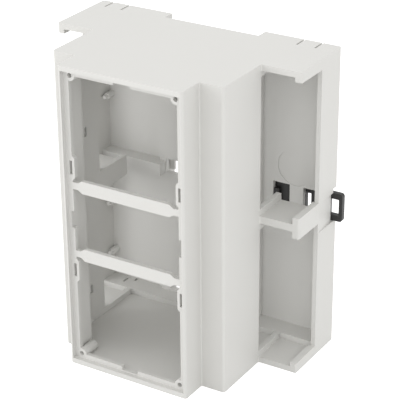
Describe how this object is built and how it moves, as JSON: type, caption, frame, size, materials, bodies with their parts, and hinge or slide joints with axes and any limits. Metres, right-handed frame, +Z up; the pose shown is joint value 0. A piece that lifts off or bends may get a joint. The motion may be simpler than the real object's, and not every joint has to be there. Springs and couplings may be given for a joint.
{
  "type": "din rail enclosure",
  "caption": "Stepped plastic enclosure for a 35 mm rail, front cover and terminal covers off, with a nested rear base and a black sliding rail clip.",
  "frame": {"origin": "on the end face it stands on, at half the width across the ears and half the depth of the enclosure", "axes": "+Z up along the rail direction, -Y out of the open front, +Y towards the rail, +X across towards the rail clip's tab"},
  "size_m": [0.0932, 0.058, 0.105],
  "materials": {
    "housing_plastic": "fine satin moulded light grey",
    "base_plastic": "fine satin moulded light grey",
    "clip_plastic": "satin black"
  },
  "bodies": {
    "enclosure": {"housing": "housing_plastic", "base": "base_plastic"},
    "clip": {"rail_clip": "clip_plastic"}
  },
  "joints": [
    {"name": "clip_slide", "type": "slide", "parent": "enclosure", "child": "clip", "axis": [1, 0, 0], "range_m": [0, 0.004]}
  ]
}
